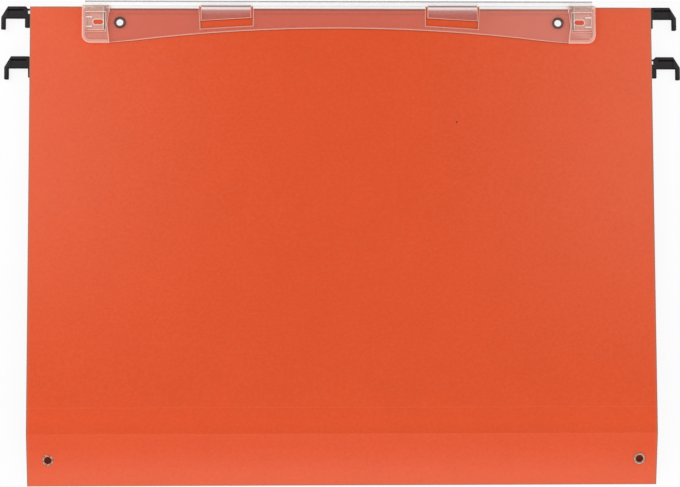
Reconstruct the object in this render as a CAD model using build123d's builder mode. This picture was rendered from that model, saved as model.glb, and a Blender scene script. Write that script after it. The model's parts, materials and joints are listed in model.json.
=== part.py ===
from build123d import *
import os
from math import asin, cos, radians, sin

# Hanging file folder for drawer rails, lying flat with its front panel up.
# One kraft card is scored into front panel, front strip, base, rear strip and rear panel.
# Each panel's top edge is turned over a steel rail that carries a plastic hook at each end.
# A clear index holder is riveted to the front panel and a clear label lens clips onto it.
# All sizes are in millimetres, angles in degrees. +Y runs to the top edge, +Z out of the front.

# Drawer rails that the file hangs on, and how far their middles lie outside the card
seat_span = 391.8
seat_overhang = 7.9

# Card
card = 0.4
panel_width = seat_span - 2 * seat_overhang
panel_length = 242.0
strip_width = 15.6
base_width = 31.6
crease_gap = 0.1
fold_slack = 0.05
crease_bead = 0.3
score_bead = 0.2

# Pose in which the card lies at rest
base_tilt = 15.5
front_top_lift = 4.2

# Turned-over top hem
hem_depth = 24.0
hem_trim = 9.0
hem_step_run = 1.2
hem_step_gap = 0.2

# Steel rail inside each hem
rail_height = 4.5
rail_thickness = 1.2
rail_clearance = 0.1
rail_shift = 1.0
tang_neck_length = 4.0
tang_neck_height = 1.8
tang_head_length = 3.0
tang_head_height = 3.0
tang_fit = 0.05

# Plastic hooks, with the drawer rail seated in the notch
hook_thickness = 3.0
hook_corner = 0.4
hook_edge = 0.25
notch_width = 11.6
notch_top = 7.3
outer_leg_width = 2.7
outer_leg_drop = 14.0
inner_leg_width = 4.4
inner_leg_drop = 12.9
shoulder_run = 4.0
shoulder_drop = 6.6
bar_nose_run = 1.0
bar_nose_reach = 1.6
bridge_drop = 1.4
bridge_height = 0.8
relief_width = 2.2
relief_height = 2.4
root_length = 25.0
web_recess = 0.5
web_flange = 2.7
web_sill = 0.8
web_margin = 0.9

# Eyelets, all of one size
eyelet_bore = 2.1
eyelet_wall = 0.3
eyelet_flange = 3.5
eyelet_flange_height = 0.55
eyelet_roll = 3.0
eyelet_roll_height = 0.5
eyelet_round = 0.2
eyelet_fit = 0.06

# Stiffener board inside the base
stiffener_width = 20.0
stiffener_inset = 6.0
stiffener_thickness = 0.6
base_eyelet_inset = 11.6
base_eyelet_shift = 1.0

# Clear index holder on the front panel
holder_inset = 32.8
holder_shift = -1.4
apron_thickness = 0.9
apron_mid_drop = 13.1
apron_end_drop = 22.6
end_block_width = 16.6
end_block_thickness = 2.2
end_block_flare = 1.4
end_block_corner = 5.0
lintel_rise = 0.6
lintel_drop = 4.0
lens_window_inset = 2.0
lens_window_rim = 2.5
lens_window_drop = 15.4
holder_eyelet_inset = 22.7
holder_eyelet_drop = 10.0
eyelet_dish = 4.7
eyelet_dish_depth = 0.25
notch_inner_x = 51.7
notch_outer_x = 85.4
notch_inner_drop = 11.6
notch_outer_drop = 13.5
ejector_radius = 1.6
ejector_depth = 0.15
ejector_offset = 3.2
ejector_drop = 8.0

# Clear label lens over the top edge, and its paper label
lens_inset = 1.6
lens_wall = 0.8
lens_rise = 3.3
lens_lift = 0.15
lens_float = 0.05
lens_rear_drop = 4.8
tongue_side_gap = 1.5
tongue_inner_drop = 6.2
tongue_outer_drop = 8.0
tongue_crown_rise = 0.7
tongue_crown = 0.55
tongue_crown_drop = 3.0
leg_side_gap = 0.8
leg_end_gap = 0.7
eye_wall = 0.6
eye_length = 6.0
eye_height = 2.9
eye_drop = 9.7
catch_height = 0.5
catch_width = 0.7
catch_length = 3.2
catch_pitch = 2.9
label_thickness = 0.3
label_gap = 0.1
label_end_gap = 0.6

# Cuts run this far past the faces that they open
overrun = 1.0

# Frames of the card, worked out from the sizes above
tilt = radians(base_tilt)
fold_radius = card + fold_slack
crease_run = base_width * cos(tilt) - card / 2 * sin(tilt)
crease_rise = fold_radius + base_width * sin(tilt) + card / 2 * cos(tilt)
front_length = strip_width + panel_length
slope = asin((crease_rise + card / 2 - front_top_lift) / front_length)
front_reach = crease_run + (front_length + lens_rise) * cos(slope)
fold_y = (fold_radius - front_reach) / 2

base_plane = Plane(
    origin=(0, fold_y, fold_radius), x_dir=(1, 0, 0), z_dir=(0, -sin(tilt), cos(tilt))
)
front_strip_plane = Plane(
    origin=(0, fold_y + crease_run, crease_rise), x_dir=(1, 0, 0), z_dir=(0, sin(slope), cos(slope))
)
front_plane = Plane(
    origin=front_strip_plane.from_local_coords((0, strip_width, card / 2)),
    x_dir=front_strip_plane.x_dir,
    z_dir=front_strip_plane.z_dir,
)
holder_plane = Plane(
    origin=front_plane.from_local_coords((holder_shift, 0, 0)),
    x_dir=front_plane.x_dir,
    z_dir=front_plane.z_dir,
)
rear_plane = Plane(origin=(0, fold_y + strip_width, 0), x_dir=(-1, 0, 0), z_dir=(0, 0, -1))

# Sizes shared by pieces that fit each other
top = panel_length
rail_gap = rail_thickness + 2 * rail_clearance
bend_radius = card + rail_gap / 2
hem_thickness = 2 * bend_radius
rail_top = top - bend_radius
loop_bottom = rail_top - rail_height - hem_step_gap
rail_level = card + rail_clearance
hook_inner_end = notch_width / 2 + inner_leg_width
rail_half = seat_span / 2 - hook_inner_end - root_length
eyelet_shank = eyelet_bore + eyelet_wall
eyelet_hole = eyelet_shank + eyelet_fit
holder_half = panel_width / 2 - holder_inset
holder_eyelet_x = holder_half - holder_eyelet_inset
lens_window_width = end_block_width - lens_window_inset - lens_window_rim
window_outer_x = holder_half - lens_window_inset
window_inner_x = window_outer_x - lens_window_width
lens_half = holder_half - lens_inset
label_level = hem_thickness + label_gap
lens_rear_level = label_level + label_thickness + label_gap
lens_front = lens_float + lens_wall


def section_plane(plane, along=0):
    """Plane across a panel: its x runs up the panel, its y outwards, its z along the panel."""
    origin = plane.from_local_coords((along, 0, 0))
    return Plane(origin=origin, x_dir=plane.y_dir, z_dir=plane.x_dir)


def write(piece, name):
    """Labels a finished piece and writes it as its own file."""
    piece.part.label = name
    export_step(piece.part, f"parts/{name}.step")


def card_panel(plane, start, eyelet_holes):
    """Flat panel with its top edge turned over into a rail loop and glued down inside."""
    with BuildPart() as panel:
        with BuildSketch(plane):
            with Locations((0, start)):
                Rectangle(panel_width, rail_top - start, align=(Align.CENTER, Align.MIN))
            with GridLocations(panel_width - hem_trim, 0, 2, 1):
                with Locations((0, rail_top)):
                    Rectangle(hem_trim, bend_radius, align=(Align.CENTER, Align.MIN))
        extrude(amount=-card)
        with BuildSketch(section_plane(plane)):
            with BuildLine():
                step_end = loop_bottom - hem_step_run
                outer_bend = ThreePointArc(
                    (rail_top, 0), (top, -bend_radius), (rail_top, -hem_thickness)
                )
                inner_bend = ThreePointArc(
                    (rail_top, -card), (top - card, -bend_radius), (rail_top, card - hem_thickness)
                )
                Polyline(
                    outer_bend @ 1,
                    (loop_bottom, -hem_thickness),
                    (step_end, -2 * card),
                    (top - hem_depth, -2 * card),
                    (top - hem_depth, -card),
                    (step_end, -card),
                    (loop_bottom, card - hem_thickness),
                    inner_bend @ 1,
                )
                Line(outer_bend @ 0, inner_bend @ 0)
            make_face()
        extrude(amount=panel_width / 2 - hem_trim, both=True)
        if eyelet_holes:
            with BuildSketch(plane):
                with Locations((holder_shift, top - holder_eyelet_drop)):
                    with GridLocations(2 * holder_eyelet_x, 0, 2, 1):
                        Circle(eyelet_hole)
            extrude(amount=-2 * card - overrun, mode=Mode.SUBTRACT)
    return panel


def steel_rail(plane, shift):
    """Flat strip with a T-shaped tang at each end, where a hook is moulded on."""
    with BuildPart() as rail:
        with BuildSketch(plane.offset(-rail_level)):
            with Locations((shift, rail_top - rail_height / 2)):
                Rectangle(2 * rail_half, rail_height)
                neck_span = 2 * rail_half + tang_neck_length
                with GridLocations(neck_span, 0, 2, 1):
                    Rectangle(tang_neck_length, tang_neck_height)
                with GridLocations(neck_span + tang_neck_length + tang_head_length, 0, 2, 1):
                    Rectangle(tang_head_length, tang_head_height)
        extrude(amount=-rail_thickness)
    return rail


def hook(plane, side, shift):
    """Moulded hook: bar, outer leg, inner leg behind the card, and a root that grips the rail."""

    def at(out, drop):
        return (side * (seat_span / 2 + out) + shift, top - drop)

    notch = notch_width / 2
    outer_end = notch + outer_leg_width
    bar_nose = -notch - bar_nose_reach
    relief_inner = bar_nose - relief_width
    with BuildPart() as moulding:
        with BuildSketch(plane.offset(-rail_level)):
            with BuildLine():
                FilletPolyline(
                    at(outer_end - shoulder_run, 0),
                    at(outer_end, shoulder_drop),
                    at(outer_end, outer_leg_drop),
                    at(notch, outer_leg_drop),
                    at(notch, notch_top),
                    at(-notch, notch_top),
                    at(-notch, inner_leg_drop),
                    at(-hook_inner_end, inner_leg_drop),
                    at(-hook_inner_end, bridge_drop),
                    at(bar_nose, bridge_drop),
                    at(bar_nose + bar_nose_run, 0),
                    radius=hook_corner,
                    close=True,
                )
            make_face()
            relief_drop = bridge_drop + bridge_height + relief_height / 2
            with Locations(at((bar_nose + relief_inner) / 2, relief_drop)):
                Rectangle(relief_width, relief_height, mode=Mode.SUBTRACT)
        extrude(amount=-hook_thickness)
        web_left = web_margin - notch
        web_right = outer_end - shoulder_run
        web_height = notch_top - web_sill - web_flange
        for level in (rail_level, rail_level + hook_thickness - web_recess):
            with BuildSketch(plane.offset(-level)):
                with Locations(at((web_left + web_right) / 2, web_flange + web_height / 2)):
                    RectangleRounded(web_right - web_left, web_height, hook_corner)
            extrude(amount=-web_recess, mode=Mode.SUBTRACT)
        levels = moulding.faces().filter_by(plane).group_by(
            lambda face: plane.to_local_coords(face.center()).Z
        )
        chamfer((levels[0] + levels[-1]).edges(), hook_edge)
        root_start = seat_span / 2 - hook_inner_end + hook_corner
        root_end = rail_half + tang_fit
        with BuildSketch(plane.offset(-rail_level)):
            with Locations((side * (root_start + root_end) / 2 + shift, rail_top - rail_height / 2)):
                Rectangle(root_start - root_end, rail_height)
            neck_x = rail_half + tang_neck_length / 2
            head_x = rail_half + tang_neck_length + tang_head_length / 2
            with Locations((side * neck_x + shift, rail_top - rail_height / 2)):
                Rectangle(
                    tang_neck_length + 2 * tang_fit,
                    tang_neck_height + 2 * tang_fit,
                    mode=Mode.SUBTRACT,
                )
            with Locations((side * head_x + shift, rail_top - rail_height / 2)):
                Rectangle(
                    tang_head_length + 2 * tang_fit,
                    tang_head_height + 2 * tang_fit,
                    mode=Mode.SUBTRACT,
                )
        extrude(amount=-rail_thickness)
    return moulding


def eyelet(seat, stack):
    """Tubular eyelet: flange on the seat's outer side, shank through the stack, rolled end inside."""
    section = Plane(origin=seat.origin, x_dir=seat.x_dir, z_dir=-seat.y_dir)
    with BuildPart() as ring:
        with BuildSketch(section):
            with BuildLine():
                Polyline(
                    (eyelet_bore, eyelet_flange_height),
                    (eyelet_flange, eyelet_flange_height),
                    (eyelet_flange, 0),
                    (eyelet_shank, 0),
                    (eyelet_shank, -stack),
                    (eyelet_roll, -stack),
                    (eyelet_roll, -stack - eyelet_roll_height),
                    (eyelet_bore, -stack - eyelet_roll_height),
                    close=True,
                )
            make_face()
        revolve(axis=Axis(seat.origin, seat.z_dir))
        rims = ring.edges().filter_by(GeomType.CIRCLE)
        ends = rims.group_by(lambda rim: seat.to_local_coords(rim.arc_center).Z)
        fillet(ends[0] + ends[-1], eyelet_round)
    return ring


def seat_on(plane, x, y, level, flipped=False):
    """Eyelet seat at a place on a panel plane, facing outwards or, flipped, inwards."""
    facing = -plane.z_dir if flipped else plane.z_dir
    return Plane(origin=plane.from_local_coords((x, y, level)), x_dir=plane.x_dir, z_dir=facing)


os.makedirs("parts", exist_ok=True)

# Card: two panels with their hems
front_panel = card_panel(front_plane, score_bead + crease_gap, eyelet_holes=True)
rear_panel = card_panel(rear_plane, card / 2 + crease_gap, eyelet_holes=False)

# Card: front strip, with the score bead that the front panel turns on
with BuildPart() as front_strip:
    strip_start = crease_bead + crease_gap
    with BuildSketch(front_strip_plane.offset(-card / 2)):
        with Locations((0, strip_start)):
            Rectangle(panel_width, strip_width - strip_start, align=(Align.CENTER, Align.MIN))
    extrude(amount=card)
    with BuildSketch(section_plane(front_strip_plane)):
        with Locations((strip_width, card / 2)):
            Circle(score_bead)
    extrude(amount=panel_width / 2, both=True)

# Card: base, with the rounded fold along the rear and the bead of the front crease
with BuildPart() as base_strip:
    with BuildSketch(base_plane):
        Rectangle(panel_width, base_width, align=(Align.CENTER, Align.MIN))
    extrude(amount=card)
    with BuildSketch(section_plane(base_plane)):
        Circle(fold_radius)
        with Locations((base_width, card / 2)):
            Circle(crease_bead)
    extrude(amount=panel_width / 2, both=True)
    with BuildSketch(base_plane):
        with Locations((base_eyelet_shift, base_width / 2)):
            with GridLocations(panel_width - 2 * base_eyelet_inset, 0, 2, 1):
                Circle(eyelet_hole)
    extrude(amount=card, mode=Mode.SUBTRACT)

# Card: rear strip, with the round edge that the rear panel turns on
with BuildPart() as rear_strip:
    with BuildSketch(rear_plane):
        Rectangle(
            panel_width,
            strip_width - fold_radius - crease_gap,
            align=(Align.CENTER, Align.MAX),
        )
    extrude(amount=-card)
    with BuildSketch(section_plane(rear_plane)):
        with Locations((0, -card / 2)):
            Circle(card / 2)
    extrude(amount=panel_width / 2, both=True)

# Board that keeps the base flat
with BuildPart() as base_stiffener:
    with BuildSketch(base_plane):
        with Locations((0, base_width / 2)):
            Rectangle(panel_width - 2 * stiffener_inset, stiffener_width)
        with Locations((base_eyelet_shift, base_width / 2)):
            with GridLocations(panel_width - 2 * base_eyelet_inset, 0, 2, 1):
                Circle(eyelet_hole, mode=Mode.SUBTRACT)
    extrude(amount=-stiffener_thickness)

# Eyelets of the base: the left one was set from inside, the right one from outside
base_eyelet_x = panel_width / 2 - base_eyelet_inset
base_stack = card + stiffener_thickness
left_seat = seat_on(
    base_plane, base_eyelet_shift - base_eyelet_x, base_width / 2, -stiffener_thickness, flipped=True
)
right_seat = seat_on(base_plane, base_eyelet_shift + base_eyelet_x, base_width / 2, card)
base_eyelet_left = eyelet(left_seat, base_stack)
base_eyelet_right = eyelet(right_seat, base_stack)

# Rails and hooks
front_rail = steel_rail(front_plane, -rail_shift)
front_hook_left = hook(front_plane, -1, -rail_shift)
front_hook_right = hook(front_plane, 1, -rail_shift)
rear_rail = steel_rail(rear_plane, -rail_shift)
rear_hook_left = hook(rear_plane, 1, -rail_shift)
rear_hook_right = hook(rear_plane, -1, -rail_shift)

# Clear index holder: arched apron, two tongue notches, and an end block with a window at each end
with BuildPart() as index_holder:
    block_inner_x = holder_half - end_block_width
    with BuildSketch(holder_plane):
        with BuildLine():
            right_side = Polyline(
                (block_inner_x, top - apron_end_drop),
                (holder_half, top - apron_end_drop),
                (holder_half, top),
                (-holder_half, top),
                (-holder_half, top - apron_end_drop),
                (-block_inner_x, top - apron_end_drop),
            )
            ThreePointArc(right_side @ 1, (0, top - apron_mid_drop), right_side @ 0)
        outline = make_face()
        corners = outline.vertices().group_by(Axis.X)
        fillet(corners[0].sort_by(Axis.Y)[0:1] + corners[-1].sort_by(Axis.Y)[0:1], end_block_corner)
        for side in (-1, 1):
            with BuildLine():
                Polyline(
                    (side * notch_inner_x, top + overrun),
                    (side * notch_inner_x, top - notch_inner_drop),
                    (side * notch_outer_x, top - notch_outer_drop),
                    (side * notch_outer_x, top + overrun),
                    close=True,
                )
            make_face(mode=Mode.SUBTRACT)
    extrude(amount=apron_thickness)
    for side in (-1, 1):
        with BuildSketch(holder_plane):
            with BuildLine():
                Polyline(
                    (side * holder_half, top),
                    (side * block_inner_x, top),
                    (side * (block_inner_x + end_block_flare), top - apron_end_drop / 2),
                    (side * block_inner_x, top - apron_end_drop),
                    (side * holder_half, top - apron_end_drop),
                    close=True,
                )
            block = make_face()
            corner = block.vertices().sort_by_distance((side * holder_half, top - apron_end_drop))
            fillet(corner[0:1], end_block_corner)
        extrude(amount=end_block_thickness)
        with BuildSketch(holder_plane):
            with Locations((side * (window_inner_x + lens_window_width / 2), top - lens_window_drop)):
                Rectangle(lens_window_width, lens_window_drop + overrun, align=(Align.CENTER, Align.MIN))
        extrude(amount=end_block_thickness + overrun, mode=Mode.SUBTRACT)
        with BuildSketch(holder_plane.offset(end_block_thickness)):
            with Locations((side * (holder_half - end_block_width / 2), top - lintel_drop)):
                Rectangle(end_block_width, lintel_drop + lintel_rise, align=(Align.CENTER, Align.MIN))
        extrude(amount=lens_front + catch_height + lens_float - end_block_thickness)
    with BuildSketch(holder_plane):
        with Locations((0, top - holder_eyelet_drop)):
            with GridLocations(2 * holder_eyelet_x, 0, 2, 1):
                Circle(eyelet_hole)
    extrude(amount=apron_thickness, mode=Mode.SUBTRACT)
    with BuildSketch(holder_plane.offset(apron_thickness)):
        with Locations((0, top - holder_eyelet_drop)):
            with GridLocations(2 * holder_eyelet_x, 0, 2, 1):
                Circle(eyelet_dish)
    extrude(amount=-eyelet_dish_depth, mode=Mode.SUBTRACT)
    with BuildSketch(holder_plane.offset(apron_thickness)):
        for mark in (notch_inner_x - ejector_offset, notch_outer_x + ejector_offset):
            with Locations((0, top - ejector_drop)):
                with GridLocations(2 * mark, 0, 2, 1):
                    Circle(ejector_radius)
    extrude(amount=-ejector_depth, mode=Mode.SUBTRACT)

# Eyelets of the holder, flanged on the clear apron and rolled on the hem
holder_seat = apron_thickness - eyelet_dish_depth
holder_stack = holder_seat + 2 * card
holder_eyelet_left = eyelet(
    seat_on(holder_plane, -holder_eyelet_x, top - holder_eyelet_drop, holder_seat), holder_stack
)
holder_eyelet_right = eyelet(
    seat_on(holder_plane, holder_eyelet_x, top - holder_eyelet_drop, holder_seat), holder_stack
)

# Clear label lens: channel over the top edge, two front tongues and a spring leg at each end
with BuildPart() as label_lens:
    crest = top + lens_rise
    with BuildSketch(section_plane(holder_plane)):
        with BuildLine():
            Polyline(
                (top + lens_lift, lens_float),
                (top + lens_lift, lens_front),
                (crest, lens_front),
                (crest, -lens_rear_level - lens_wall),
                (top - lens_rear_drop, -lens_rear_level - lens_wall),
                (top - lens_rear_drop, -lens_rear_level),
                (crest - lens_wall, -lens_rear_level),
                (crest - lens_wall, lens_float),
                close=True,
            )
        make_face()
    extrude(amount=lens_half, both=True)
    tongue_inner_x = notch_inner_x + tongue_side_gap
    tongue_outer_x = notch_outer_x - tongue_side_gap
    for side in (-1, 1):
        with BuildSketch(section_plane(holder_plane, side * tongue_inner_x)):
            with BuildLine():
                Polyline(
                    (top + tongue_crown_rise, lens_float),
                    (top + tongue_crown_rise, lens_front + tongue_crown),
                    (top - tongue_crown_drop, lens_front + tongue_crown),
                    (top - tongue_outer_drop, lens_front),
                    (top - tongue_outer_drop, lens_float),
                    close=True,
                )
            make_face()
        extrude(amount=side * (tongue_outer_x - tongue_inner_x))
        with BuildSketch(holder_plane):
            with BuildLine():
                Polyline(
                    (side * (tongue_inner_x - overrun), top - tongue_inner_drop),
                    (side * tongue_inner_x, top - tongue_inner_drop),
                    (side * tongue_outer_x, top - tongue_outer_drop),
                    (side * tongue_outer_x, top - tongue_outer_drop - overrun),
                    (side * (tongue_inner_x - overrun), top - tongue_outer_drop - overrun),
                    close=True,
                )
            make_face()
        extrude(amount=lens_front + tongue_crown + overrun, mode=Mode.SUBTRACT)
        leg_x = side * (window_inner_x + lens_window_width / 2)
        eye_x = side * (window_inner_x + leg_side_gap + eye_wall + eye_length / 2)
        with BuildSketch(holder_plane.offset(lens_float)):
            with Locations((leg_x, top + lens_lift)):
                Rectangle(
                    lens_window_width - 2 * leg_side_gap,
                    lens_window_drop - leg_end_gap + lens_lift,
                    align=(Align.CENTER, Align.MAX),
                )
            with Locations((eye_x, top - eye_drop)):
                SlotOverall(eye_length, eye_height, mode=Mode.SUBTRACT)
        extrude(amount=lens_wall)
        with BuildSketch(holder_plane.offset(lens_front)):
            catch_x = leg_x + side * (lens_window_width / 2 - leg_side_gap - catch_length / 2)
            with Locations((catch_x, top - eye_drop)):
                with GridLocations(0, 2 * catch_pitch, 1, 2):
                    Rectangle(catch_length, catch_width)
        extrude(amount=catch_height)

# Paper label inside the lens, behind the hem
with BuildPart() as label_strip:
    with BuildSketch(section_plane(holder_plane)):
        with Locations((top - lens_rear_drop, -label_level)):
            Rectangle(
                lens_rear_drop + lens_rise - lens_wall - label_gap,
                label_thickness,
                align=(Align.MIN, Align.MAX),
            )
    extrude(amount=lens_half - label_end_gap, both=True)

write(front_panel, "front_panel")
write(front_strip, "front_strip")
write(base_strip, "base_strip")
write(rear_strip, "rear_strip")
write(rear_panel, "rear_panel")
write(base_stiffener, "base_stiffener")
write(base_eyelet_left, "base_eyelet_left")
write(base_eyelet_right, "base_eyelet_right")
write(front_rail, "front_rail")
write(front_hook_left, "front_hook_left")
write(front_hook_right, "front_hook_right")
write(rear_rail, "rear_rail")
write(rear_hook_left, "rear_hook_left")
write(rear_hook_right, "rear_hook_right")
write(index_holder, "index_holder")
write(holder_eyelet_left, "holder_eyelet_left")
write(holder_eyelet_right, "holder_eyelet_right")
write(label_lens, "label_lens")
write(label_strip, "label_strip")
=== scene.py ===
# %% [markdown]
# # A hanging file folder
# The file lies flat on a white table with its front panel up. One orange card is scored into five
# fields, each top edge is turned over a steel rail with black plastic hooks, and a clear index holder is
# riveted to the front. The CAD model gives every place and size, and this lesson gives the looks:
# folded card, moulded plastic, pressed metal and clear mouldings.

import json
from math import atan2, cos, hypot, pi, radians, sin, tan

import bmesh
import bpy
from mathutils import Matrix, Vector


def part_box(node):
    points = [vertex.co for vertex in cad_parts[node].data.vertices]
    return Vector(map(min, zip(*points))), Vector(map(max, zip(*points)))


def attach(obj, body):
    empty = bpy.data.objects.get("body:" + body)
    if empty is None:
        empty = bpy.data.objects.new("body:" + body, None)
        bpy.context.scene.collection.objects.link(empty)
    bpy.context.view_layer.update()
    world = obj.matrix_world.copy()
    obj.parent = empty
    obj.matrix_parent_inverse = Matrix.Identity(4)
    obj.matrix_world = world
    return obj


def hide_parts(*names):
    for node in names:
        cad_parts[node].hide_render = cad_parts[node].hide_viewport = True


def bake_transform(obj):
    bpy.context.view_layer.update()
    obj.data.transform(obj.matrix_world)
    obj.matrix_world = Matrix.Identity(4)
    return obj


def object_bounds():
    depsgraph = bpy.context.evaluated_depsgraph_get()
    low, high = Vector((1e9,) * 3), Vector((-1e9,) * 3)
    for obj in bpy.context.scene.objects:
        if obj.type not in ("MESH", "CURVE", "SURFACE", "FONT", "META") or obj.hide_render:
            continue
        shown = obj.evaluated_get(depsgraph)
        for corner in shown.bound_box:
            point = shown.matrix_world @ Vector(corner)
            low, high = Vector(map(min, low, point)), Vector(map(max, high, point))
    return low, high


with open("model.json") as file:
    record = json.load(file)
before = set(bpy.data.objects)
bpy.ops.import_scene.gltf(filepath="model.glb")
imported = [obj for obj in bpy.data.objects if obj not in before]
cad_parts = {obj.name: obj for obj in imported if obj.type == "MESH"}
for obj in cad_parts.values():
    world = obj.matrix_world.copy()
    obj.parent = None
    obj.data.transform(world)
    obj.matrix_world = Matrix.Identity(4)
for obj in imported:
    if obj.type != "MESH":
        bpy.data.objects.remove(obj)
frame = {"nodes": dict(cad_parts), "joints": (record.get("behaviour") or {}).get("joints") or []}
cad_low, cad_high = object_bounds()
scene = bpy.context.scene
scene.view_settings.view_transform = "Standard"
print("CAD box", tuple(cad_low), tuple(cad_high))

# %% [markdown]
# Every piece is easier to model flat, in the plane of the card that carries it: x across the panel, y up
# it, z out of its outer face. The joints say where those planes are. The front score's axis lies in the
# outer face of the front panel, the lens slides straight up that panel, and the base runs from the axis
# of the fold to the axis of the front crease.

# %% Planes of the card
joints = {joint["name"]: joint for joint in frame["joints"]}


def axis_place(name):
    return Vector(joints[name]["pos_m"])


def plane_frame(origin, across, up):
    """Matrix from a plane's own x, y and z to the row frame."""
    across = Vector(across)
    up = Vector(up)
    turn = Matrix((across, up, across.cross(up))).transposed()
    return Matrix.Translation(origin) @ turn.to_4x4()


def span(node, axis):
    low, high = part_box(node)
    return high[axis] - low[axis]


front_score = axis_place("front_score")
front_crease = axis_place("front_base_crease")
fold = axis_place("rear_base_crease")
rear_score = axis_place("rear_score")
front_up = Vector(joints["lens_pull"]["axis"])

card = span("rear_strip", 2)
panel_width = span("front_panel", 0)
panel_half = panel_width / 2
panel_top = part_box("rear_panel")[1].y - rear_score.y
strip_width = rear_score.y - fold.y
hem_thickness = span("rear_panel", 2)
rail_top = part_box("rear_rail")[1].y - rear_score.y
rail_height = span("rear_rail", 1)

base_run = front_crease - fold
base_width = (base_run.length_squared - (card / 2) ** 2) ** 0.5
base_tilt = atan2(base_run.z, base_run.y) - atan2(card / 2, base_width)
base_up = Vector((0, cos(base_tilt), sin(base_tilt)))
crease_bend = base_tilt - atan2(front_up.z, front_up.y)

front_frame = plane_frame(front_score, (1, 0, 0), front_up)
rear_frame = plane_frame((0, rear_score.y, 0), (-1, 0, 0), (0, 1, 0))
base_frame = plane_frame(fold, (1, 0, 0), base_up)
panel_top_y = (front_frame @ Vector((0, panel_top, 0))).y
print("panel", panel_width, panel_top, "card", card, "base", base_width, "bend", crease_bend)

# %% [markdown]
# The operators of Blender act on whatever is selected, and loading the frame leaves the CAD nodes
# selected. These helpers keep each step to one piece, choose its vertices, edges or faces by their place,
# and set the finished mesh down where the CAD has it.

# %% Helpers for modelling
PICK_MODES = {"verts": "VERT", "edges": "EDGE", "faces": "FACE"}


def clear_selection():
    """Goes back to object mode with nothing selected."""
    if bpy.context.mode != "OBJECT":
        bpy.ops.object.mode_set(mode="OBJECT")
    bpy.ops.object.select_all(action="DESELECT")


def only(piece):
    """Leaves this piece alone selected, in object mode."""
    clear_selection()
    piece.select_set(True)
    bpy.context.view_layer.objects.active = piece


def started(name, add, **settings):
    """Adds a primitive by its operator, as a new piece with nothing else selected."""
    clear_selection()
    add(**settings)
    piece = bpy.context.object
    piece.name = name
    return piece


def edit(piece):
    """Opens this piece alone in edit mode with all of it selected."""
    only(piece)
    bpy.ops.object.mode_set(mode="EDIT")
    bpy.ops.mesh.select_mode(type="VERT")
    bpy.ops.mesh.select_all(action="SELECT")


def middle(part):
    if isinstance(part, bmesh.types.BMVert):
        return part.co
    return sum((vert.co for vert in part.verts), Vector()) / len(part.verts)


def pick(piece, kind, test):
    """In edit mode, selects the verts, edges or faces that pass the test, and says how many they are."""
    bpy.ops.mesh.select_mode(type=PICK_MODES[kind])
    bpy.ops.mesh.select_all(action="DESELECT")
    mesh = bmesh.from_edit_mesh(piece.data)
    chosen = [part for part in getattr(mesh, kind) if test(part)]
    for part in chosen:
        part.select_set(True)
    mesh.select_flush_mode()
    bmesh.update_edit_mesh(piece.data)
    return len(chosen)


def grow(step):
    """Extrudes what is selected by one step."""
    bpy.ops.mesh.extrude_region_move(TRANSFORM_OT_translate={"value": step})


def modify(piece, kind, **settings):
    """Adds a modifier and applies it."""
    only(piece)
    modifier = piece.modifiers.new(kind.lower(), kind)
    for name, value in settings.items():
        setattr(modifier, name, value)
    bpy.ops.object.modifier_apply(modifier=modifier.name)


def set_down(piece, place):
    """Moves a piece from its plane's own frame to the row frame and puts the move into its mesh."""
    only(piece)
    piece.matrix_world = place
    bpy.ops.object.transform_apply(location=True, rotation=True, scale=True)


def smooth(piece, degrees):
    only(piece)
    bpy.ops.object.shade_smooth_by_angle(angle=radians(degrees))


def dress(piece, *finishes):
    """Gives a piece its materials, in the order of its slots."""
    piece.data.materials.clear()
    for finish in finishes:
        piece.data.materials.append(finish)


# %% [markdown]
# The photograph looks almost straight down from over a metre away. The camera's place was worked out from
# the corners, creases, notches and eyelets, so that each lands on its own pixel.

# %% Camera
camera_place = (-0.03621, -0.09413, 1.300)
camera_turn_degrees = (4.105, -1.527, -0.155)
camera_lens = 114.551
sensor_width = 36.0

camera = bpy.data.objects.new("camera", bpy.data.cameras.new("camera"))
scene.collection.objects.link(camera)
camera.location = camera_place
camera.rotation_euler = [radians(turn) for turn in camera_turn_degrees]
camera.data.lens = camera_lens
camera.data.sensor_width = sensor_width
camera.data.sensor_fit = "HORIZONTAL"
scene.camera = camera
print("camera at", camera_place)

# %% [markdown]
# Shader maths reads best as arithmetic. A Wire holds one output of a shader node, and sums or products of
# wires add the Math nodes that work them out. Every other node comes from Finish.node, which takes the
# node's type, its settings and what goes into its sockets.

# %% Shader expressions


class Wire:
    """One output of a shader node."""

    def __init__(self, finish, socket):
        self.finish = finish
        self.socket = socket

    def math(self, operation, first, second):
        return self.finish.node("Math", {"operation": operation}, {0: first, 1: second})

    def __add__(self, other):
        return self.math("ADD", self, other)

    def __radd__(self, other):
        return self.math("ADD", other, self)

    def __sub__(self, other):
        return self.math("SUBTRACT", self, other)

    def __rsub__(self, other):
        return self.math("SUBTRACT", other, self)

    def __mul__(self, other):
        return self.math("MULTIPLY", self, other)

    def __rmul__(self, other):
        return self.math("MULTIPLY", other, self)

    def __pow__(self, other):
        return self.math("POWER", self, other)

    def __abs__(self):
        return self.math("ABSOLUTE", self, 0.0)

    def __or__(self, other):
        return self.math("MAXIMUM", self, other)

    def __and__(self, other):
        return self.math("MINIMUM", self, other)


# The sockets of a Mix node for colours go by number, because others have the same names.
MIX_FACTOR, MIX_FIRST, MIX_SECOND, MIX_RESULT = 0, 6, 7, 2


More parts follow.
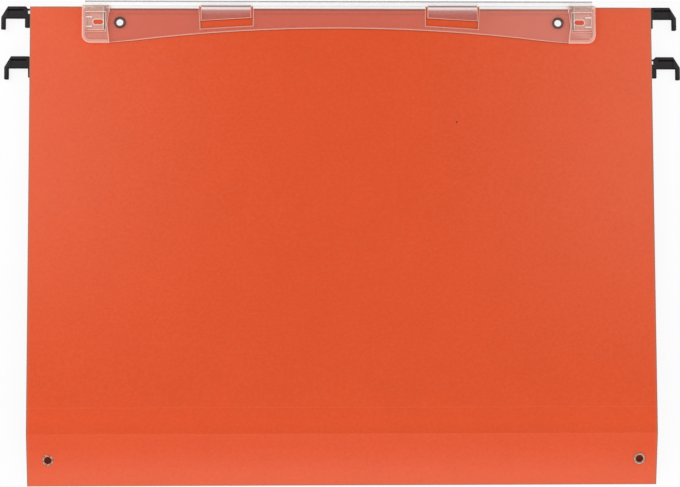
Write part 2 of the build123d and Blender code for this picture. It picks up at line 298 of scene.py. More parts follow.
class Finish:
    """A material, or the world, while its nodes are being laid out."""

    def __init__(self, owner):
        owner.use_nodes = True
        self.owner = owner
        self.tree = owner.node_tree
        self.tree.nodes.clear()

    def node(self, kind, settings=None, sockets=None, output=0):
        made = self.tree.nodes.new("ShaderNode" + kind)
        for name, value in (settings or {}).items():
            setattr(made, name, value)
        for key, value in (sockets or {}).items():
            if isinstance(value, Wire):
                self.tree.links.new(value.socket, made.inputs[key])
            else:
                made.inputs[key].default_value = value
        return Wire(self, made.outputs[output]) if made.outputs else None

    def place(self):
        return self.node("TexCoord", output="Object")

    def noise(self, vector, scale, detail=2.0, rough=0.5):
        sockets = {"Vector": vector, "Scale": scale, "Detail": detail, "Roughness": rough}
        return self.node("TexNoise", {}, sockets)

    def stretched(self, vector, scale):
        return self.node("Mapping", {}, {"Vector": vector, "Scale": scale})

    def parts(self, vector):
        split = self.node("SeparateXYZ", {}, {0: vector}).socket.node
        return [Wire(self, socket) for socket in split.outputs]

    def ramp(self, value, low, high):
        """Smooth step of a value from 0 at low to 1 at high."""
        sockets = {"Value": value, "From Min": low, "From Max": high}
        return self.node("MapRange", {"interpolation_type": "SMOOTHSTEP"}, sockets)

    def mixed(self, factor, first, second, blend="MIX"):
        """A colour between two others, or what another blend makes of them."""
        settings = {"data_type": "RGBA", "blend_type": blend}
        sockets = {MIX_FACTOR: factor, MIX_FIRST: first, MIX_SECOND: second}
        return self.node("Mix", settings, sockets, MIX_RESULT)

    def tint(self, colour, amount):
        """A colour made lighter or darker by a value that is about 1."""
        return self.mixed(1.0, colour, amount, "MULTIPLY")

    def bump(self, height, strength, distance):
        return self.node("Bump", {}, {"Height": height, "Strength": strength, "Distance": distance})

    def glaze(self, factor, first, second):
        return self.node("MixShader", {}, {0: factor, 1: first, 2: second})

    def close(self, surface, kind="OutputMaterial"):
        """Joins the finished surface to the output, and gives back the material or world."""
        self.node(kind, {}, {"Surface": surface})
        return self.owner

    def opaque(self, colour, rough, normal, metal=0.0, shine=0.5):
        """Closes the finish with a surface that lets no light through."""
        sockets = {"Base Color": colour, "Roughness": rough, "Normal": normal}
        sockets.update({"Metallic": metal, "Specular IOR Level": shine})
        return self.close(self.node("BsdfPrincipled", {}, sockets))


def finish_named(name):
    return Finish(bpy.data.materials.new(name))


# %% [markdown]
# The stage is a white table under soft studio light. Rays from the camera, and those that glossy or clear
# surfaces send out, see a plain white room, while the light that falls on the object comes from a dim
# white world and three soft boxes, to the left, to the right and at the foot of the table. To the rays
# that see it, the table is nearly clear, so it shows the white room with the object's shadow over that. It
# is all clear from below, so a part that a pose turns below it is lit and still shows.

# %% Stage and light
world_level = 0.41
floor_size = 12.0
floor_place = (0.0, 0.0, -0.0002)
floor_clear_share = 0.88
floor_colour = (0.9, 0.9, 0.9, 1.0)
white = (1.0, 1.0, 1.0, 1.0)


def seen_rays(finish):
    """1 for rays that show a surface to the camera, straight or by way of gloss or glass."""
    path = finish.node("LightPath").socket.node
    camera_ray, glossy_ray, clear_ray = (
        Wire(finish, path.outputs[name]) for name in ("Is Camera Ray", "Is Glossy Ray", "Is Transmission Ray")
    )
    return camera_ray | glossy_ray | clear_ray


scene.world = bpy.data.worlds.new("studio")
room = Finish(scene.world)
room_light = room.node("Background", {}, {"Color": white, "Strength": world_level})
room_seen = room.node("Background", {}, {"Color": white, "Strength": 1.0})
room.close(room.glaze(seen_rays(room), room_light, room_seen), "OutputWorld")

table = finish_named("table")
table_top = table.node("BsdfDiffuse", {}, {"Color": floor_colour})
table_clear = table.node("BsdfTransparent")
from_below = table.node("NewGeometry", output="Backfacing")
clear_share = seen_rays(table) * floor_clear_share | from_below
table_finish = table.close(table.glaze(clear_share, table_top, table_clear))

floor = started("table_top", bpy.ops.mesh.primitive_plane_add, size=floor_size, location=floor_place)
dress(floor, table_finish)


def soft_box(name, place, aim, size, power):
    lamp = bpy.data.objects.new(name, bpy.data.lights.new(name, "AREA"))
    scene.collection.objects.link(lamp)
    lamp.data.shape = "RECTANGLE"
    lamp.data.size, lamp.data.size_y = size
    lamp.data.energy = power
    lamp.location = place
    lamp.rotation_euler = (Vector(aim) - Vector(place)).to_track_quat("-Z", "Y").to_euler()
    lamp.visible_camera = False


soft_box("box_left", place=(-0.52, 0.26, 0.36), aim=(-0.14, 0.08, 0.0), size=(0.45, 0.5), power=1.9)
soft_box("box_right", place=(0.52, 0.22, 0.36), aim=(0.14, 0.06, 0.0), size=(0.45, 0.5), power=1.3)
soft_box("box_foot", place=(0.0, -0.78, 0.37), aim=(0.0, -0.10, 0.0), size=(2.2, 0.8), power=7.5)
print("stage set")

# %% [markdown]
# The card is dyed kraft: a warm orange that is cloudy from the pulp, with fine fibres that mostly run
# across the sheet and a rare dark or pale fibre. Painted shade darkens its cut sides, its top hem and its
# bottom fold. Painted sheen makes it a trace paler at both sides, more towards the top, and along the
# bottom fold, and painted highlights lighten the score, the crease and the strip between them.
# Object coordinates carry all of it, so the five fields read as one sheet.

# %% Finish of the card
card_colour = (0.735, 0.077, 0.0150, 1.0)
card_roughness = 0.56
card_shine = 0.25
# Colour of the painted shade along the card's edges.
edge_shade_colour = (0.36, 0.17, 0.105, 1.0)
# Pale colour for the random pulp tone and for the painted sheen and highlights.
pale_pulp_and_sheen_colour = (1.0, 0.95, 0.75, 1.0)
crease_highlight_half = 0.0004
strip_light_fade = 0.0006
speck_place = (0.0692, 0.0721, 0.0)
speck_turn_degrees = -35.0
speck_size = (0.0006, 0.0010, 1.0)
# Each change of tone has the value where it starts and the one where it is full.
side_shade = (0.0019, 0.0003)
top_shade = (0.0014, 0.0006)
fold_shade = (0.0016, 0.0004)
front_levels = (0.004, 0.006)
side_sheen_across = (0.02, 0.26)
side_sheen_up = (-0.12, 0.06)
fold_sheen_down = (0.118, 0.146)
dark_fleck_levels = (0.735, 0.80)
pale_fleck_levels = (0.275, 0.21)
speck_fade = (1.1, 0.5)


def card_speck(finish, place):
    """1 on the dark speck of the front panel."""
    sockets = {"Vector": place, "Location": speck_place, "Scale": speck_size}
    sockets["Rotation"] = (0.0, 0.0, radians(speck_turn_degrees))
    vector = finish.node("Mapping", {"vector_type": "TEXTURE"}, sockets)
    far = finish.node("VectorMath", {"operation": "LENGTH"}, {0: vector}, "Value")
    return finish.ramp(far, *speck_fade)


def card_finish():
    finish = finish_named("kraft_card")
    place = finish.place()
    across, up, level_above = finish.parts(place)
    cloud = finish.noise(place, scale=38.0, detail=4.0, rough=0.62)
    pulp = finish.noise(place, scale=520.0, detail=3.0, rough=0.6)
    grain = finish.noise(finish.stretched(place, (0.45, 1.0, 1.0)), scale=950.0, detail=5.0, rough=0.7)
    fleck = finish.noise(finish.stretched(place, (0.22, 1.0, 1.0)), scale=2100.0, detail=1.0)
    dark_fleck = finish.ramp(fleck, *dark_fleck_levels)
    pale_fleck = finish.ramp(fleck, *pale_fleck_levels)
    # Painted shade along the cut sides, the top hem and the bottom fold.
    at_side = finish.ramp(panel_half - abs(across), *side_shade)
    at_top = finish.ramp(panel_top_y - up, *top_shade)
    at_fold = finish.ramp(up - cad_low.y, *fold_shade)
    edge = 0.6 * at_side | 0.75 * at_top | 0.5 * at_fold
    in_front = finish.ramp(level_above, *front_levels)
    # Painted highlight along the score and the crease, and over the front strip between them.
    on_score = finish.ramp(abs(up - front_score.y), crease_highlight_half, 0.0)
    on_crease = finish.ramp(abs(up - front_crease.y), crease_highlight_half, 0.0)
    crease_highlight = (on_score | on_crease) * in_front
    from_strip = abs(up - (front_score.y + front_crease.y) / 2)
    strip = finish.ramp(from_strip, strip_width / 2, strip_width / 2 - strip_light_fade) * in_front
    # Painted sheen at both sides, stronger towards the top, and along the bottom fold.
    side_sheen = finish.ramp(abs(across), *side_sheen_across) * finish.ramp(up, *side_sheen_up)
    fold_sheen = finish.ramp(0.0 - up, *fold_sheen_down)
    level = 1.0 + 0.10 * (cloud - 0.5) + 0.16 * (grain - 0.5) - 0.10 * dark_fleck + 0.10 * pale_fleck
    # The painted highlights and sheen lighten the dyed colour.
    level = level * (1.0 + 0.10 * crease_highlight + 0.05 * strip + 0.06 * fold_sheen)
    dyed = finish.tint(card_colour, level * (1.0 - 0.75 * card_speck(finish, place)))
    # The pale mix is partly random pulp tone and partly painted sheen and highlight.
    pulp_and_sheen = 0.046 * side_sheen + 0.038 * fold_sheen + 0.05 * (pulp - 0.44) + 0.012 * crease_highlight
    colour = finish.mixed(edge, finish.mixed(pulp_and_sheen, dyed, pale_pulp_and_sheen_colour), edge_shade_colour)
    rough = card_roughness + 0.12 * (grain - 0.5)
    normal = finish.bump(grain + 0.5 * cloud, strength=0.25, distance=0.00006)
    return finish.opaque(colour, rough, normal, shine=card_shine)


card_look = card_finish()
print("finish", card_look.name)

# %% [markdown]
# On the real file the five fields are one sheet, so a crease has no gap. A sheet can bend between only
# two bodies here, so the card is modelled as four sheets, each folded over one crease, that meet in the
# flat of a field where both ride on the same body. Each starts as a grid whose edge is extruded on, row
# by row, and Solidify gives it the thickness of the card.

# %% A flat start for each sheet
card_columns = 32
card_smooth_degrees = 35
touch = 0.00001


def card_sheet(name, low, high):
    """Flat strip of card from one row to another in its plane, in columns all across it."""
    grid = {"x_subdivisions": card_columns, "y_subdivisions": 1, "size": 1}
    sheet = started(name, bpy.ops.mesh.primitive_grid_add, **grid)
    edit(sheet)
    bpy.ops.transform.resize(value=(panel_width, high - low, 1), center_override=(0, 0, 0))
    bpy.ops.transform.translate(value=(0, (low + high) / 2, 0))
    return sheet


def row_at(y, half=panel_half, z=None):
    """Test for the edges of one row across the sheet, out to some way from its middle."""

    def test(edge):
        level = all(abs(vert.co.y - y) < touch for vert in edge.verts)
        return level and abs(middle(edge).x) < half and (z is None or abs(middle(edge).z - z) < touch)

    return test


def give_thickness(sheet):
    modify(sheet, "SOLIDIFY", thickness=card, offset=-1)
    smooth(sheet, card_smooth_degrees)


# %% [markdown]
# Both panels are made alike: half a strip, the pressed score, the panel itself in rows, and the top hem,
# which is spun round the rail and laid down behind. The corners beside the hem stay single. A real panel
# is never quite flat, so a few broad, soft pushes bow it by less than a millimetre.

# %% Card panels with their scores and hems
score_half = 0.0007
score_depth = 0.00014
hem_trim = 0.009
hem_depth = 0.024
hem_step_run = 0.0012
hem_step_gap = 0.0002
hem_air = 0.00003
corner_trim = 0.00025
panel_rows = 20
hem_turns = 10
# Each push has the x and y of its middle, how far it reaches round that, and how high it lifts the card.
front_pushes = [(-0.10, 0.095, 0.085, 0.0006), (0.09, 0.110, 0.085, 0.0005), (0.0, 0.085, 0.075, -0.0003)]
rear_pushes = [(0.06, 0.10, 0.085, -0.0005), (-0.10, 0.10, 0.085, -0.0004)]


def card_panel(name, pushes):
    sheet = card_sheet(name, -strip_width / 2, -score_half)
    hem_half = panel_half - hem_trim
    for side in (-1, 1):
        bpy.ops.mesh.select_all(action="SELECT")
        bpy.ops.mesh.bisect(plane_co=(side * hem_half, 0, 0), plane_no=(1, 0, 0))
    pick(sheet, "edges", row_at(-score_half))
    for dip in (-1, -1, 1, 1):
        grow((0, score_half / 2, dip * score_depth / 2))
    step = (rail_top - score_half) / panel_rows
    for _ in range(panel_rows):
        grow((0, step, 0))
    radius = hem_thickness / 2
    pick(sheet, "edges", row_at(rail_top, hem_half))
    bpy.ops.mesh.spin(steps=hem_turns, angle=pi, center=(0, rail_top, -radius), axis=(1, 0, 0))
    loop_low = rail_top - rail_height - hem_step_gap
    lap_level = -2 * card - hem_air
    grow((0, loop_low - rail_top, 0))
    grow((0, -hem_step_run, lap_level + hem_thickness))
    grow((0, panel_top - hem_depth - loop_low + hem_step_run, 0))
    pick(sheet, "edges", lambda edge: row_at(rail_top, z=0)(edge) and abs(middle(edge).x) > hem_half)
    grow((0, panel_top - rail_top - corner_trim, 0))
    for x, y, size, height in pushes:
        verts = bmesh.from_edit_mesh(sheet.data).verts
        chosen = min(verts, key=lambda vert: (vert.co - Vector((x, y, 0))).length).index
        pick(sheet, "verts", lambda vert: vert.index == chosen)
        bpy.ops.transform.translate(
            value=(0, 0, height),
            use_proportional_edit=True,
            proportional_edit_falloff="SMOOTH",
            proportional_size=size,
        )
    give_thickness(sheet)
    return sheet


card_front = card_panel("card_front", front_pushes)
card_rear = card_panel("card_rear", rear_pushes)
print("panels", len(card_front.data.polygons), len(card_rear.data.polygons))

# %% [markdown]
# The base sheet runs over the front crease, which stands up as a slight ridge, and the fold sheet turns
# right round the rear edge of the base, where the file lies folded.

# %% Card of the base and the fold
seam_on_base = 0.004
ridge_rise = 0.0001
ridge_half = 0.0005
crease_turns = 8
fold_turns = 40
fold_blend = 0.0006


def card_base_sheet():
    """Base from its seam over the ridge of the crease, a Bezier arc, to the middle of the front strip."""
    strip_up = Vector((0, cos(crease_bend), -sin(crease_bend)))
    lean = Vector((0, sin(crease_bend / 2), cos(crease_bend / 2)))
    reach = card / 2 * tan(crease_bend / 2)
    corner = Vector((0, base_width + reach, card))
    start = corner - Vector((0, ridge_half, 0))
    end = corner + strip_up * ridge_half
    control = corner + lean * (2 * ridge_rise)
    sheet = card_sheet("card_base", seam_on_base, start.y)
    bpy.ops.transform.translate(value=(0, 0, card))
    pick(sheet, "edges", row_at(start.y))
    spot = start
    for turn in range(1, crease_turns + 1):
        share = turn / crease_turns
        after = start * (1 - share) ** 2 + control * (2 * share * (1 - share)) + end * share ** 2
        grow(after - spot)
        spot = after
    grow(strip_up * (strip_width / 2 + reach - ridge_half))
    give_thickness(sheet)
    return sheet


def card_fold_sheet():
    sheet = card_sheet("card_fold", fold.y, fold.y + strip_width / 2)
    bpy.ops.mesh.flip_normals()
    pick(sheet, "edges", row_at(fold.y))
    turn = pi - base_tilt
    bpy.ops.mesh.spin(steps=fold_turns, angle=turn, center=fold, axis=(1, 0, 0))
    base_out = Vector((0, -sin(base_tilt), cos(base_tilt)))
    grow(base_up * fold_blend - base_out * (fold.z - card))
    grow(base_up * (seam_on_base - fold_blend))
    give_thickness(sheet)
    return sheet


card_base = card_base_sheet()
card_fold = card_fold_sheet()
print("base and fold", len(card_base.data.polygons), len(card_fold.data.polygons))

# %% [markdown]
# Each eyelet goes through a punched hole. The CAD eyelets say where the holes are, and a cylinder cuts
# them with a Boolean, while the sheets still lie flat in their own planes.

# %% Punch the eyelet holes
hole_radius = 0.00246
hole_depth = 0.01
round_steps = 48


def box_round(points):
    """Lowest and highest corner of the box round some points."""
    return [Vector([end(values) for values in zip(*points)]) for end in (min, max)]


def local_box(node, place):
    """Lowest and highest corner of a CAD node in a plane's own frame."""
    back = place.inverted()
    return box_round([back @ vert.co for vert in frame["nodes"][node].data.vertices])


def plane_spot(node, place):
    """Middle of a CAD node, brought down to the plane."""
    low, high = local_box(node, place)
    return Vector(((low.x + high.x) / 2, (low.y + high.y) / 2, 0))


def cut_out(piece, cutter):
    """Cuts one piece out of another and throws the cutter away."""
    modify(piece, "BOOLEAN", operation="DIFFERENCE", solver="EXACT", object=cutter)
    bpy.data.objects.remove(cutter)


def punch(sheet, node, place):
    pin = {"vertices": round_steps, "radius": hole_radius, "depth": hole_depth}
    spot = plane_spot(node, place)
    cut_out(sheet, started("punch", bpy.ops.mesh.primitive_cylinder_add, location=spot, **pin))


for side in ("left", "right"):
    punch(card_front, "holder_eyelet_" + side, front_frame)
    punch(card_base, "base_eyelet_" + side, base_frame)
smooth(card_front, card_smooth_degrees)
smooth(card_base, card_smooth_degrees)
print("punched", len(card_front.data.polygons), len(card_base.data.polygons))

# %% [markdown]
# The sheets now move from their planes to their places.

# %% Set the card down
set_down(card_front, front_frame)
set_down(card_rear, rear_frame)
set_down(card_base, base_frame)
for sheet in (card_front, card_rear, card_base, card_fold):
    dress(sheet, card_look)
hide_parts("front_panel", "front_strip")
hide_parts("base_strip")
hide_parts("rear_strip")
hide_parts("rear_panel")
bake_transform(card_front)
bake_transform(card_base)
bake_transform(card_fold)
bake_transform(card_rear)
print("card set down in four sheets")

# %% [markdown]
# The hooks are moulded in black plastic with a fine satin grain. Flat faces mirror the pale room faintly,
# while rounded edges, walls and the bottom of the groove turn away from it, so those get a darker, duller
# copy of the finish: painted shade that keeps them black.

# %% Finishes of the hooks
hook_colour = (0.0075, 0.0054, 0.0060, 1.0)
worn_levels = (0.62, 0.80)


def hook_finish(name, shine, roughness, level):
    finish = finish_named(name)
    place = finish.place()
    grain = finish.noise(place, scale=2600.0, detail=3.0, rough=0.6)
    scuff = finish.noise(finish.stretched(place, (1.0, 0.3, 1.0)), scale=420.0, detail=4.0, rough=0.65)
    worn = finish.ramp(scuff, *worn_levels)
    colour = finish.tint(hook_colour, level * (0.8 + 0.4 * grain + 1.6 * worn))
    rough = roughness + 0.14 * (grain - 0.5) + 0.12 * worn
    normal = finish.bump(grain, strength=0.22, distance=0.00003)
    return finish.opaque(colour, rough, normal, shine=shine)


hook_look = hook_finish("hook_plastic", shine=0.20, roughness=0.42, level=1.0)
# A darker, duller copy of the hook finish: painted shade.
hook_shade_look = hook_finish("hook_edges", shine=0.10, roughness=0.55, level=0.6)
print("finishes", hook_look.name, hook_shade_look.name)

# %% [markdown]
# A hook is drawn as an outline, corner by corner, filled, extruded to its thickness and bevelled. Boxes cut
# the flat web, the groove under the top flange and the small relief beside the nose of the bar. Its root,
# which grips the rail's tang inside the hem, is the CAD's own, cut off at the inner leg and joined on.

# %% Helpers for mouldings
weld = 0.000002
flat_degrees = 0.5
sharp_degrees = 30
moulded_smooth_degrees = 40
wall_slope = 0.5


def welded_copy(node, name, place):
    """Copy of a CAD node's mesh in a plane's own frame, with its triangles joined into plain faces."""
    piece = bpy.data.objects.new(name, frame["nodes"][node].data.copy())
    scene.collection.objects.link(piece)
    piece.data.transform(place.inverted())
    edit(piece)
    bpy.ops.mesh.customdata_custom_splitnormals_clear()
    bpy.ops.mesh.remove_doubles(threshold=weld)
    bpy.ops.mesh.dissolve_limited(angle_limit=radians(flat_degrees))
    return piece


def drawn_face(name, corners):
    """Flat face that is drawn corner by corner and filled, in edit mode."""
    piece = started(name, bpy.ops.mesh.primitive_plane_add, size=1)
    edit(piece)
    bpy.ops.mesh.merge(type="CENTER")
    bpy.ops.transform.translate(value=corners[0])
    for before, after in zip(corners, corners[1:]):
        grow(after - before)
    bpy.ops.mesh.select_all(action="SELECT")
    bpy.ops.mesh.edge_face_add()
    return piece


def cut_box(piece, low, high):
    """Cuts a box out of a piece."""
    block = {"size": 1, "location": (low + high) / 2, "scale": high - low}
    cut_out(piece, started("box_cutter", bpy.ops.mesh.primitive_cube_add, **block))


def slot_of(piece, look):
    return piece.data.materials.find(look.name)


def face_look(piece, look, test):
    """In edit mode, gives the faces that pass the test one of the piece's materials."""
    pick(piece, "faces", test)
    piece.active_material_index = slot_of(piece, look)
    bpy.ops.object.material_slot_assign()


def is_wall(face, slope=wall_slope):
    """True for a face that stands up from the plane of the card."""
    return abs(face.normal.z) < slope


def outer_edge(edge, degrees=sharp_degrees):
    """True for a sharp edge that stands out of the piece."""
    return edge.is_manifold and edge.is_convex and edge.calc_face_angle() > radians(degrees)


def round_edges(piece, width, look, test=outer_edge, steps=2, clamp=True):
    """Bevels the edges that pass the test and gives the new faces one of the piece's materials."""
    count = pick(piece, "edges", test)
    slot = slot_of(piece, look)
    bpy.ops.mesh.bevel(offset=width, segments=steps, affect="EDGES", material=slot, clamp_overlap=clamp)
    return count


# %% Hooks
hook_reach = 0.0085
hook_inner = -0.0102
hook_tip_drop = 0.0140
hook_leg_drop = 0.0129
hook_top_sides = (-0.0064, 0.0045)
nose_drop = 0.0066
shoulder_side = -0.0074
shoulder_drop = 0.0014
seat_half = 0.0058
seat_drop = 0.0073
hook_round = 0.00045
hook_round_steps = 3
web_depth = 0.0005
groove_depth = 0.0009
root_overlap = 0.0003
# Points and cuts go by the way out from the middle of the seat and the drop from the panel's top edge.
hook_outline = [
    (hook_top_sides[1], 0.0),
    (hook_reach, nose_drop),
    (hook_reach, hook_tip_drop),
    (seat_half, hook_tip_drop),
    (seat_half, seat_drop),
    (-seat_half, seat_drop),
    (-seat_half, hook_leg_drop),
    (hook_inner, hook_leg_drop),
    (hook_inner, shoulder_drop),
    (shoulder_side, shoulder_drop),
    (hook_top_sides[0], 0.0),
]
web_cut = ((-0.0049, 0.0045), (0.0027, 0.0063))
groove_cut = ((-0.0049, 0.0047), (0.0017, 0.0028))
relief_cut = ((-0.0096, -0.0074), (0.0022, 0.0046))


def make_hook(panel, side, place):
    node = f"{panel}_hook_{side}"
    low, high = local_box(node, place)
    outward = 1 if low.x + high.x > 0 else -1
    seat = (high.x if outward > 0 else low.x) - outward * hook_reach

    def at(out, drop, level):
        return Vector((seat + outward * out, panel_top - drop, level))

    def cut(sides, drops, bottom, top):
        corners = [at(out, drop, level) for out, drop, level in zip(sides, drops, (bottom, top))]
        cut_box(head, *box_round(corners))

    def in_groove(face):
        return low.z + web_depth + touch < middle(face).z < high.z - web_depth - touch

    head = drawn_face(f"hook_{panel}_{side}", [at(out, drop, high.z) for out, drop in hook_outline])
    grow((0, 0, low.z - high.z))
    bpy.ops.mesh.select_all(action="SELECT")
    bpy.ops.mesh.normals_make_consistent(inside=False)
    dress(head, hook_look, hook_shade_look)
    face_look(head, hook_shade_look, is_wall)
    edges = round_edges(head, hook_round, hook_shade_look, steps=hook_round_steps)
    cut(*relief_cut, low.z - touch, high.z + touch)
    for depth, sides in ((web_depth, web_cut), (groove_depth, groove_cut)):
        cut(*sides, high.z - depth, high.z + touch)
        cut(*sides, low.z - touch, low.z + depth)
    edit(head)
    face_look(head, hook_shade_look, in_groove)
    root = welded_copy(node, "hook_root", place)
    root_end = at(hook_inner + root_overlap, 0, 0)
    bpy.ops.mesh.select_all(action="SELECT")
    bpy.ops.mesh.bisect(plane_co=root_end, plane_no=(outward, 0, 0), clear_outer=True, use_fill=True)
    dress(root, hook_look)
    only(head)
    root.select_set(True)
    bpy.ops.object.join()
    set_down(head, place)
    smooth(head, moulded_smooth_degrees)
    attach(head, f"{panel}_rail")
    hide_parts(node)
    print(head.name, "edges", edges, "faces", len(head.data.polygons))


for side in ("left", "right"):
    make_hook("front", side, front_frame)
    make_hook("rear", side, rear_frame)

# %% [markdown]
# The holder and the lens are clear mouldings a little under a millimetre thick. A clear wall passes most
# of the light, mirrors a little of it, more at a slant, and looks milky where it is thick or curved. So
# each clear finish mixes a see-through shader, a milky one, a dark one that paints shade, and a mirror.
# The mix changes from the plain apron to the rims, whose milky share in the glow colours of the card is a
# painted highlight, the walls painted dark as shade, the end blocks, the tongues and the crest of the lens.

# %% Clear finishes
milk_colour = (0.93, 0.93, 0.93, 1.0)
# The glow colours and the warm milks of the tongues and legs paint the card's light, refracted in rims,
# bands, crowns and walls: painted highlight.
rim_glow = (1.0, 0.45, 0.34, 1.0)
pale_glow = (1.0, 0.62, 0.50, 1.0)
white_glow = (1.0, 0.88, 0.82, 1.0)
block_glow = (1.0, 0.68, 0.56, 1.0)
crest_shade = (0.22, 0.20, 0.20, 1.0)
painted_shade_colour = (0.05, 0.03, 0.028, 1.0)
tongue_milk = (1.0, 0.83, 0.81, 1.0)
tongue_shade_colour = (0.17, 0.075, 0.06, 1.0)
leg_milk = (1.0, 0.82, 0.72, 1.0)
gap_shade_colour = (0.13, 0.03, 0.022, 1.0)
milk_rough = 0.45
milk_shine = 0.2
painted_shade_rough = 0.5
slant_power = 5.0


def share_of(value, finish, place):
    """A share or colour that is either plain or worked out from the place on the piece."""
    return value(finish, place) if callable(value) else value


def clear_finish(name, haze, tint, milk=milk_colour, painted_shade=0.0, dark=painted_shade_colour, mirror=(0.03, 1.0),
                 casts_shadow=True):
    """A clear wall: haze is its milky share, tint what a face lets through, painted_shade its share of
    painted shade.

    The mirror shares are for a face seen square on and at a slant."""
    finish = finish_named(name)
    place = finish.place()
    flow = finish.noise(place, scale=160.0)
    scuff = finish.noise(finish.stretched(place, (0.3, 1.0, 1.0)), scale=1400.0, detail=3.0, rough=0.6)
    uneven = 0.85 + 0.3 * scuff
    through = finish.node("BsdfTransparent", {}, {"Color": (tint, tint, tint, 1.0)})
    milk_sockets = {"Base Color": share_of(milk, finish, place), "Roughness": milk_rough}
    milk_sockets["Specular IOR Level"] = milk_shine
    milky = finish.node("BsdfPrincipled", {}, milk_sockets)
    shaded = finish.node("BsdfPrincipled", {}, {"Base Color": dark, "Roughness": painted_shade_rough})
    body = finish.glaze(share_of(haze, finish, place) * uneven, through, milky)
    # The dark share paints shade on the clear wall.
    body = finish.glaze(share_of(painted_shade, finish, place) * uneven, body, shaded)
    mirror_sockets = {"Base Color": white, "Metallic": 1.0, "Roughness": 0.05 + 0.08 * scuff}
    mirror_sockets["Normal"] = finish.bump(flow, strength=0.05, distance=0.0004)
    shiny = finish.node("BsdfPrincipled", {}, mirror_sockets)
    facing = finish.node("LayerWeight", {}, {"Blend": 0.5}, "Facing")
    square, slant = mirror
    surface = finish.glaze(square + (slant - square) * facing ** slant_power, body, shiny)
    if not casts_shadow:
        shadow_ray = finish.node("LightPath", output="Is Shadow Ray")
        surface = finish.glaze(shadow_ray, surface, through)
    return finish.close(surface)


print("clear plastic", milk_colour, rim_glow)

# %% [markdown]
# On the holder and the lens the shares change with the place: the apron has a frosted ridge along its top,
# painted shade lines under the ridge with a paler line between them, a dish round each eyelet, a painted
# glare towards its right end and a band along the arch and the notches that is a painted highlight in the
# glow of the card. The end blocks have such a painted highlight band inside their outline, with painted
# shade beside it and along their top, and the tongues fade from a painted highlight on the crown to clear.

# %% Places on the holder
arch_drops = (0.0137, 0.0232)
notch_sides = (0.0526, 0.0844)
notch_drops = (0.0116, 0.0135)
notch_lean = 0.0008
block_width = 0.0166
block_corner = 0.0050
window_reach = 0.0141

holder_middle = plane_spot("index_holder", front_frame).x
holder_frame = front_frame @ Matrix.Translation((holder_middle, 0, 0))
holder_low, holder_high = local_box("index_holder", holder_frame)
eyelet_spot = plane_spot("holder_eyelet_right", holder_frame)
block_inner = holder_high.x - block_width
window_inner = holder_high.x - window_reach
arch_rise = arch_drops[1] - arch_drops[0]
arch_radius = (block_inner**2 + arch_rise**2) / (2 * arch_rise)
notch_slope = (notch_drops[1] - notch_drops[0]) / (notch_sides[1] - notch_sides[0])


def holder_place(finish, place):
    """How far a place is from the middle of the holder, and how far below the panel's top edge."""
    across, up, _ = finish.parts(place)
    return abs(across - holder_middle), panel_top_y - up


def line(finish, value, middle_value, half):
    """1 on a line where a value has its middle value, falling to 0 at half its width."""
    return finish.ramp(abs(value - middle_value), half, 0.0)


def rim_depth(finish, place):
    """How far a place on the apron lies inside the arch and outside the notches."""
    away, drop = holder_place(finish, place)
    rise = arch_radius + arch_drops[0] - drop
    above_arch = (away * away + rise * rise) ** 0.5 - arch_radius
    outer_side = notch_sides[1] - notch_lean / notch_drops[1] * drop
    beside_notch = notch_sides[0] - away | away - outer_side
    below_notch = drop - notch_drops[0] - notch_slope * (away - notch_sides[0])
    return above_arch & (beside_notch | below_notch)


def block_depth(finish, place):
    """How far a place lies inside the rounded outline of an end block."""
    away, drop = holder_place(finish, place)
    beyond = away - (holder_high.x - block_corner) | 0.0
    below = drop - (panel_top - holder_low.y - block_corner) | 0.0
    return block_corner - (beyond * beyond + below * below) ** 0.5


print("holder", tuple(holder_low), tuple(holder_high))

# %% Shares of the apron and the end blocks
# A line has its middle and half its width. A fade has the place where it starts and the one where it is full.
ridge_fade = (0.00155, 0.00125)
ridge_glow_fade = (0.00135, 0.00185)
ridge_shade_line = (0.0021, 0.0007)
pale_line = (0.0031, 0.0006)
hem_shade_line = (0.0046, 0.0010)
dish_line = (0.0047, 0.0006)
rim_fade = (0.0012, 0.0007)
right_glare_fade = (0.02, 0.15)
block_fade = (0.0023, 0.0015)
block_line = (0.0025, 0.0005)
block_top_line = (0.0, 0.0007)


def apron_haze(finish, place):
    away, drop = holder_place(finish, place)
    across, _, _ = finish.parts(place)
    aside = away - eyelet_spot.x
    below = drop - (panel_top - eyelet_spot.y)
    dish = line(finish, (aside * aside + below * below) ** 0.5, *dish_line)
    ridge = finish.ramp(drop, *ridge_fade)
    # A band of painted highlight along the arch and the notches.
    rim = finish.ramp(rim_depth(finish, place), *rim_fade)
    # Painted glare: the milky share grows towards the right end of the holder.
    right_glare = 0.03 + 0.12 * finish.ramp(across, *right_glare_fade)
    return 0.93 * ridge | 0.06 * line(finish, drop, *pale_line) | 0.08 * dish | 0.40 * rim | right_glare


def apron_milk(finish, place):
    _, drop = holder_place(finish, place)
    return finish.mixed(finish.ramp(drop, *ridge_glow_fade), milk_colour, rim_glow)


# Painted shade lines under the ridge.
def apron_painted_shade(finish, place):
    _, drop = holder_place(finish, place)
    return 0.24 * line(finish, drop, *ridge_shade_line) + 0.06 * line(finish, drop, *hem_shade_line)


# A band of painted highlight inside the outline of each end block.
def block_haze(finish, place):
    return 0.20 + 0.22 * finish.ramp(block_depth(finish, place), *block_fade)


# Painted shade beside the band and along the top of the block.
def block_painted_shade(finish, place):
    _, drop = holder_place(finish, place)
    inner_line = line(finish, block_depth(finish, place), *block_line)
    return 0.16 * inner_line + 0.45 * line(finish, drop, *block_top_line)


